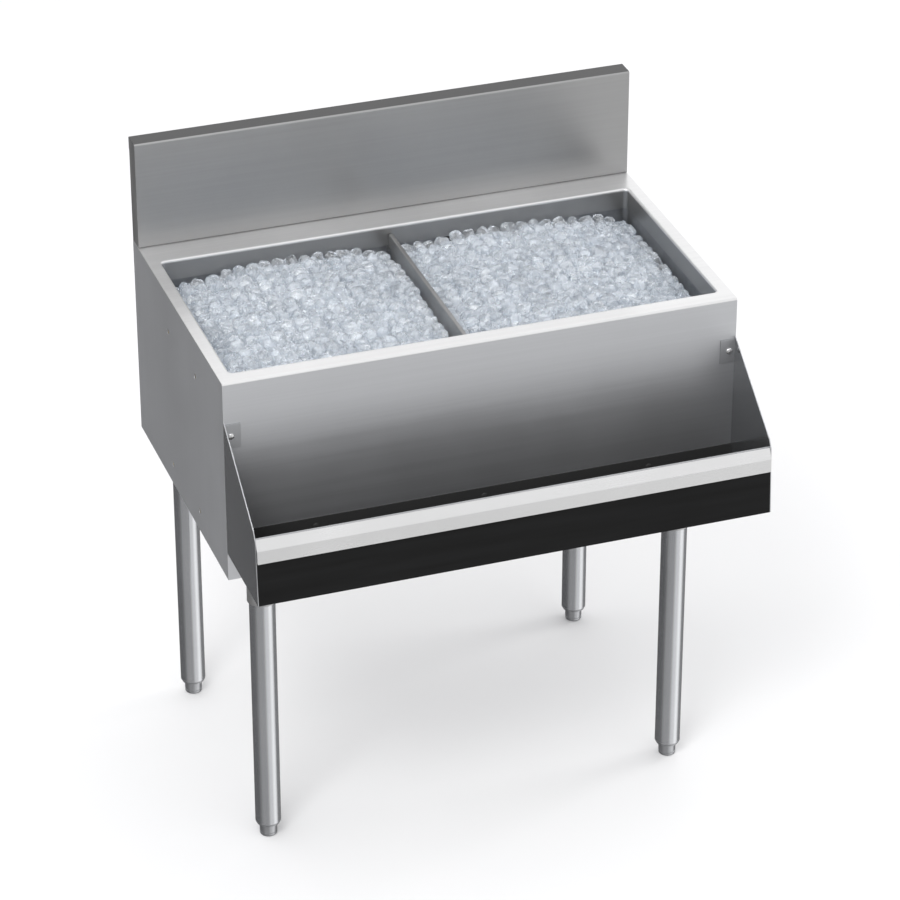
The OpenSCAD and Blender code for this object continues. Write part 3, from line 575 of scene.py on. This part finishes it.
def make_ice(node, seed, pieces_material, bed_material):
    """Fills a compartment: a piece under each top, one below it, smaller ones between, a bed."""
    rng = np.random.default_rng(seed)
    heap = Heap(node, node + "_pieces", rng)
    lower = Heap(node, node + "_lower", rng)
    tops, gaps = ice_faces(node)
    fine, coarse = ice_forms(ICE_CUTS), ice_forms(ICE_LOWER_CUTS)
    for centre, normal, width in tops:
        size = width / ICE_TOP_SHARE * rng.uniform(*ICE_SIZE)
        sizes = size * np.array((rng.uniform(*ICE_WIDTH), rng.uniform(*ICE_WIDTH),
                                 rng.uniform(*ICE_THICK)))
        heap.add(fine, centre + chance_vector(rng) * ICE_SHIFT, normal, sizes, ICE_LEAN)
        below = centre + Vector((rng.normal() * LOWER_SHIFT, rng.normal() * LOWER_SHIFT,
                                 -LOWER_DEPTH))
        lower.add(coarse, below, chance_vector(rng).normalized(), sizes, LOWER_LEAN)
    for gap in gaps:
        sizes = rng.uniform(*FILLER_SIZE) * rng.uniform(*FILLER_WIDTH, 3)
        top = gap + Vector((rng.normal() * FILLER_SHIFT, rng.normal() * FILLER_SHIFT,
                            rng.uniform(*FILLER_RISE_MM) * MM))
        heap.add(fine, top, chance_vector(rng).normalized(), sizes, FILLER_LEAN)
    heap.finish(pieces_material)
    lower.finish(bed_material)
    make_bed(node, heap, tops, bed_material)


def make_bed(node, heap, tops, material):
    """The packed ice under the pieces, down to the floor of the bin."""
    low, high = heap.low, heap.high
    spots = np.array([centre[:] for centre, _, _ in tops])
    n = BED_STEPS
    points = []
    for i in range(n):
        for j in range(n):
            x = low.x + BED_INSET + (high.x - low.x - 2 * BED_INSET) * i / (n - 1)
            y = low.y + BED_INSET + (high.y - low.y - 2 * BED_INSET) * j / (n - 1)
            near = np.argsort((spots[:, 0] - x) ** 2 + (spots[:, 1] - y) ** 2)[:BED_NEAR]
            lump = BED_LUMP * noise.noise(Vector((x, y, 0)) * BED_LUMP_SCALE)
            points.append((x, y, spots[near, 2].mean() - BED_DEPTH + lump))
    around = ([(i, 0) for i in range(n - 1)] + [(n - 1, j) for j in range(n - 1)]
              + [(i, n - 1) for i in range(n - 1, 0, -1)] + [(0, j) for j in range(n - 1, 0, -1)])
    quads = [(i * n + j, (i + 1) * n + j, (i + 1) * n + j + 1, i * n + j + 1)
             for i in range(n - 1) for j in range(n - 1)]
    start = len(points)
    points += [(*points[i * n + j][:2], low.z) for i, j in around]
    for k, (i, j) in enumerate(around):
        following = (k + 1) % len(around)
        a, b = around[following]
        quads.append((a * n + b, i * n + j, start + k, start + following))
    quads.append(tuple(reversed(range(start, len(points)))))
    piece(node + "_bed", mesh_of(node + "_bed", points, quads), material, node=node)


# Metal details
DIVIDER_CORNER = 5 * MM
DIVIDER_EDGE = 1.9 * MM
DIVIDER_SMOOTH = 40
SHARP_EDGE = math.radians(60)


def make_divider(material):
    """The lift-out divider as a folded sheet, with round upper corners and round long edges."""
    low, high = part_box("divider_plate")
    middle = (low + high) / 2
    bm = bmesh.new()
    bmesh.ops.create_cube(bm, size=1.0)
    bmesh.ops.scale(bm, vec=high - low, verts=bm.verts)
    bmesh.ops.translate(bm, vec=middle, verts=bm.verts)

    def is_upper_corner(edge, y):
        return all(abs(v.co.y - y) < CLOSE and v.co.z > middle.z for v in edge.verts)

    def is_long_edge(edge):
        first, second = edge.verts
        return (abs(first.co.x - second.co.x) < CLOSE and len(edge.link_faces) == 2
                and abs(edge.calc_face_angle(0)) > SHARP_EDGE)

    corners = [e for y in (low.y, high.y) for e in bm.edges if is_upper_corner(e, y)]
    bmesh.ops.bevel(bm, geom=corners, offset=DIVIDER_CORNER, segments=6, affect="EDGES",
                    profile=0.5, clamp_overlap=True)
    long_edges = [e for e in bm.edges if is_long_edge(e)]
    bmesh.ops.bevel(bm, geom=long_edges, offset=DIVIDER_EDGE, segments=4, affect="EDGES",
                    profile=0.5, clamp_overlap=True)
    mesh = from_bmesh("divider_fold", bm, DIVIDER_SMOOTH)
    even_normals(piece("divider_fold", mesh, material, node="divider_plate",
                       body="divider"))


LATHE_STEPS = 48
LATHE_SMOOTH = 38


def lathe(name, profile, centre, material, body, node):
    """Turns (radius, height) points about a vertical axis."""
    n = LATHE_STEPS
    points = [(centre[0] + radius * math.cos(a), centre[1] + radius * math.sin(a), z)
              for radius, z in profile for a in round_steps(n)]
    faces = []
    for ring in range(0, len(points) - n, n):
        for k in range(n):
            following = (k + 1) % n
            faces.append((ring + k, ring + following, ring + n + following, ring + n + k))
    faces.append(tuple(reversed(range(n))))
    faces.append(tuple(range(len(points) - n, len(points))))
    mesh = mesh_of(name, points, faces)
    mesh.set_sharp_from_angle(angle=math.radians(LATHE_SMOOTH))
    return piece(name, mesh, material, body=body, node=node)


# A foot's lower edge, its turns in degrees, and the height, depth, slope and width of the
# groove in its side
FOOT_ARC = 3 * MM
FOOT_ARC_TURNS = range(15, 91, 15)
FOOT_FLAT_EDGE = 1.2 * MM
GROOVE_UP = 5.2 * MM
GROOVE_DEEP = 0.7 * MM
GROOVE_SLOPE = 0.3 * MM
GROOVE_WIDE = 1.5 * MM


def make_feet(material):
    """Turned bullet feet: a barrel with a fine groove, a rounded lower edge and a flat end."""
    for corner in CORNERS:
        foot = "foot_" + corner
        low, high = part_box(foot)
        radius = (high.x - low.x) / 2
        centre = ((low.x + high.x) / 2, (low.y + high.y) / 2)
        flat = radius - FOOT_ARC
        groove = low.z + GROOVE_UP
        profile = [(flat - FOOT_FLAT_EDGE, low.z), (flat, low.z)]
        profile += [(flat + FOOT_ARC * math.sin(a), low.z + FOOT_ARC - FOOT_ARC * math.cos(a))
                    for a in map(math.radians, FOOT_ARC_TURNS)]
        profile += [(radius, groove),
                    (radius - GROOVE_DEEP, groove + GROOVE_SLOPE),
                    (radius - GROOVE_DEEP, groove + GROOVE_WIDE - GROOVE_SLOPE),
                    (radius, groove + GROOVE_WIDE),
                    (radius, high.z)]
        lathe("foot_barrel_" + corner, profile, centre, material, foot, foot)


# Screws: their sizes, and their heads' shape as shares of the head's radius and height, with
# the turns of its dome in degrees
SCREW_RADIUS = 2.4 * MM
SCREW_HEAD_RADIUS = 4.8 * MM
SCREW_HEAD_HEIGHT = 2.4 * MM
RAIL_SCREW_LENGTH = 12 * MM
BOTTOM_SCREW_LENGTH = 6 * MM
SCREW_STEPS = 24
SCREW_SMOOTH = 35
HEAD_WALL_SHARE = 0.35
HEAD_DOME_TURNS = (20, 40, 58, 72)
# The cross recess: the reach of its arms and of the corners between them, at its top and floor
CROSS_TOP_SHARES = (0.26, 0.09)
CROSS_FLOOR_SHARES = (0.20, 0.06)
CROSS_FLOOR_HEIGHT_SHARE = 0.45


def screw_mesh(name, places, axis, length):
    """Pan-head screws with a cross recess, each at a place on the face under its head."""
    bm = bmesh.new()
    radius, height = SCREW_HEAD_RADIUS, SCREW_HEAD_HEIGHT
    turn = Vector((0, 0, 1)).rotation_difference(Vector(axis)).to_matrix()
    quarter = SCREW_STEPS // 4
    wall = HEAD_WALL_SHARE
    profile = [(SCREW_RADIUS, -length), (SCREW_RADIUS, 0), (radius, 0), (radius, height * wall)]
    profile += [(radius * math.cos(a), height * (wall + (1 - wall) * math.sin(a)))
                for a in map(math.radians, HEAD_DOME_TURNS)]

    def cross(arm, corner):
        """Radii round a cross, whose arms are two steps wide."""
        return [radius * (arm if k % quarter in (0, 1, quarter - 1) else corner)
                for k in range(SCREW_STEPS)]

    outlines = [([r] * SCREW_STEPS, h) for r, h in profile]
    outlines += [(cross(*CROSS_TOP_SHARES), height),
                 (cross(*CROSS_FLOOR_SHARES), height * CROSS_FLOOR_HEIGHT_SHARE)]
    for place in places:
        rings = [[bm.verts.new(Vector(place) + turn @ Vector((r * math.cos(a), r * math.sin(a), h)))
                  for r, a in zip(radii, round_steps(SCREW_STEPS))] for radii, h in outlines]
        for a, b in zip(rings, rings[1:]):
            for k in range(SCREW_STEPS):
                following = (k + 1) % SCREW_STEPS
                bm.faces.new((a[k], a[following], b[following], b[k]))
        bm.faces.new(list(reversed(rings[0])))
        bm.faces.new(rings[-1])
    return from_bmesh(name, bm, SCREW_SMOOTH)


def islands(node):
    """Boxes of a CAD node's separate solids, as (low, high) corners."""
    bm = joined_mesh(node)
    seen, boxes = set(), []
    for start in bm.verts:
        if start in seen:
            continue
        stack, members = [start], []
        seen.add(start)
        while stack:
            v = stack.pop()
            members.append(v.co.copy())
            for e in v.link_edges:
                other = e.other_vert(v)
                if other not in seen:
                    seen.add(other)
                    stack.append(other)
        boxes.append((Vector([min(c[k] for c in members) for k in range(3)]),
                      Vector([max(c[k] for c in members) for k in range(3)])))
    bm.free()
    return boxes


def make_screws(material, black):
    """The rail's and the underside's screws, with real heads. Those in the trough are black."""
    front = [((a.x + b.x) / 2, a.y + SCREW_HEAD_HEIGHT, (a.z + b.z) / 2)
             for a, b in islands("rail_screws")]
    under = [((a.x + b.x) / 2, (a.y + b.y) / 2, a.z + SCREW_HEAD_HEIGHT)
             for a, b in islands("bottom_screws")]
    trough_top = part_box("rail_trough")[1].z
    upper = [place for place in front if place[2] > trough_top]
    lower = [place for place in front if place[2] < trough_top]
    forward, downward = (0, -1, 0), (0, 0, -1)
    for name, given, places, axis, length, node in (
            ("tab_screw_heads", material, upper, forward, RAIL_SCREW_LENGTH, "rail_screws"),
            ("trough_screw_heads", black, lower, forward, RAIL_SCREW_LENGTH, "rail_screws"),
            ("bottom_screw_heads", material, under, downward, BOTTOM_SCREW_LENGTH,
             "bottom_screws")):
        mesh = screw_mesh(name, places, axis, length)
        piece(name, mesh, given, node=node)


# Floor, lights and surroundings
FLOOR_DARK = (0.86, 0.86, 0.865, 1)
FLOOR_LIGHT = (0.90, 0.90, 0.90, 1)


def make_floor():
    s = Shader("floor_paint")
    cloud = s.noise(scale=2.0, detail=3.0)
    s.set(Base_Color=s.mix(cloud, FLOOR_DARK, FLOOR_LIGHT), Roughness=0.9)
    half = FLOOR_HALF
    corners = [(-half, -half, 0), (half, -half, 0), (half, half, 0), (-half, half, 0)]
    obj = show("floor", mesh_of("floor", corners, [(0, 1, 2, 3)], smooth=False))
    obj.data.materials.append(s.material)
    obj.visible_glossy = False


def make_light(name, at, size, power):
    data = bpy.data.lights.new(name, "AREA")
    data.shape = "RECTANGLE"
    data.size, data.size_y = size
    data.energy = power
    aim(show(name, data), at, LIGHTS_TO)


def make_world():
    """A pale studio, bright above and dim below, with soft patches for the steel to mirror."""
    world = bpy.data.worlds.new("studio")
    bpy.context.scene.world = world
    world.use_nodes = True
    s = Tree(world.node_tree, "Generated")

    def patch(azimuth, elevation, reach, middle, strength):
        a, e = math.radians(azimuth), math.radians(elevation)
        way = (math.sin(a) * math.cos(e), -math.cos(a) * math.cos(e), math.sin(e))
        near = s.vector("DOT_PRODUCT", "Value", a=s.place, b=way)
        return s.span(near, math.cos(math.radians(reach)), math.cos(math.radians(middle)),
                      to_high=strength, smooth=True)

    ramp = s.new("ShaderNodeValToRGB")
    s.put(s.span(s.axis("Z"), -1.0, 1.0), ramp.inputs["Fac"])
    ramp.color_ramp.interpolation = "EASE"
    stops = ramp.color_ramp.elements
    while len(stops) < len(SKY):
        stops.new(0.5)
    for stop, (at, level) in zip(stops, SKY):
        stop.position = at
        stop.color = (level, level, level * SKY_BLUE, 1)
    total = patch(*PATCHES[0])
    for values in PATCHES[1:]:
        total = s.math("ADD", total, patch(*values))
    background = s.tree.nodes["Background"]
    s.put(s.vector("ADD", "Vector", a=ramp.outputs["Color"], b=total), background.inputs["Color"])
    s.put(1.0, background.inputs["Strength"])


set_view()
make_camera()
make_floor()
make_world()
for light in LIGHTS:
    make_light(*light)

# Steels: the CAD nodes that wear each, and its look
# Painted shade: the rim is darker below its turn down into the bin, and the backsplash is darker on
# its top face
RIM_TURN = 3 * MM
TOP_SKIN = 0.1 * MM
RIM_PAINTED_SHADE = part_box("rim_frame")[1].z - RIM_TURN
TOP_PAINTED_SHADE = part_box("backsplash")[1].z - TOP_SKIN
STEELS = {
    "apron_steel": (("front_apron",),
                    dict(level=0.55, rough=0.32, streak=0.03, cloud=0.03, metal=0.79)),
    "rim_steel": (("rim_frame",),
                  dict(level=0.76, rough=0.32, tint=NEUTRAL, streak=0.03, metal=0.80,
                       painted_shade_below=RIM_PAINTED_SHADE, painted_shade_level=0.32)),
    "splash_steel": (("backsplash",),
                     dict(level=0.38, rough=0.38, tint=NEUTRAL, streak=0.03, cloud=0.03,
                          anisotropy=0.4, painted_shade_above=TOP_PAINTED_SHADE, painted_shade_level=0.09)),
    "liner_steel": (("bin_liner", "divider_guide_front", "divider_guide_rear"),
                    dict(level=0.28, rough=0.38, stains=0.08, cloud=0.06)),
    "divider_steel": ((),
                      dict(level=0.34, rough=0.38, grain="Y", tint=NEUTRAL, stains=0.04,
                           anisotropy=0.0)),
    "side_steel": (("left_side_panel", "right_side_panel"),
                   dict(level=0.50, rough=0.34, grain="Z", streak=0.03, metal=0.62)),
    "plate_steel": (("rail_end_left", "rail_end_right"),
                    dict(level=0.50, rough=0.17, rough_front=0.42, grain="Z", streak=0.02,
                         anisotropy=0.0, metal=0.92)),
    "under_steel": (("rear_panel", "bottom_pan", "splash_stiffener", "wall_clips",
                     "support_channel_left", "support_channel_right",
                     *at_corners("leg_socket_")),
                    dict(level=0.48, rough=0.42, grain="Z", tint=NEUTRAL, stains=0.05,
                         anisotropy=0.0)),
    "lip_steel": (("rail_lip",),
                  dict(level=0.70, rough=0.26, tint=NEUTRAL, streak=0.01, anisotropy=0.0,
                       metal=0.9, relief=0)),
    "leg_steel": (at_corners("leg_"),
                  dict(level=0.66, rough=0.20, grain="Z", streak=0.02, anisotropy=0.0,
                       metal=0.92, relief=0)),
    "foot_steel": (at_corners("ferrule_"),
                   dict(level=0.50, rough=0.30, grain="Z", streak=0.03, anisotropy=0.0,
                        relief=0)),
    "fitting_steel": (("drain_body", "drain_strainer", "drain_locknut"),
                      dict(level=0.62, rough=0.26, tint=NEUTRAL, anisotropy=0.0)),
    "screw_steel": (("socket_screws", "socket_bolts"),
                    dict(level=0.70, rough=0.24, tint=NEUTRAL, anisotropy=0.0)),
}
steels = {}
for name, (nodes, look) in STEELS.items():
    steels[name] = brushed(name, **look)
    dress(steels[name], nodes)

rail_black = rail_black_painted_reflection("rail_black", level=0.007, rough=0.42)
ice_clear = clear_ice("ice_clear")
ice_packed = packed_ice("ice_packed")
dress(rail_black, ("rail_trough",))
dress(rubber("black_rubber", level=0.012), ("port_plug_left", "port_plug_right", "drain_gasket"))
dress(foam("yellow_foam"),
      ("foam_front", "foam_rear", "foam_left", "foam_right", "foam_bottom"))
round_edges("left_side_panel", "right_side_panel", "rear_panel", "rail_trough",
            "rail_end_left", "rail_end_right", "rail_lip", "support_channel_left",
            "support_channel_right")

make_divider(steels["divider_steel"])
make_feet(steels["foot_steel"])
make_screws(steels["screw_steel"], rail_black)
noise.seed_set(MELT_SEED)
make_ice("ice_left", 11, ice_clear, ice_packed)
make_ice("ice_right", 23, ice_clear, ice_packed)
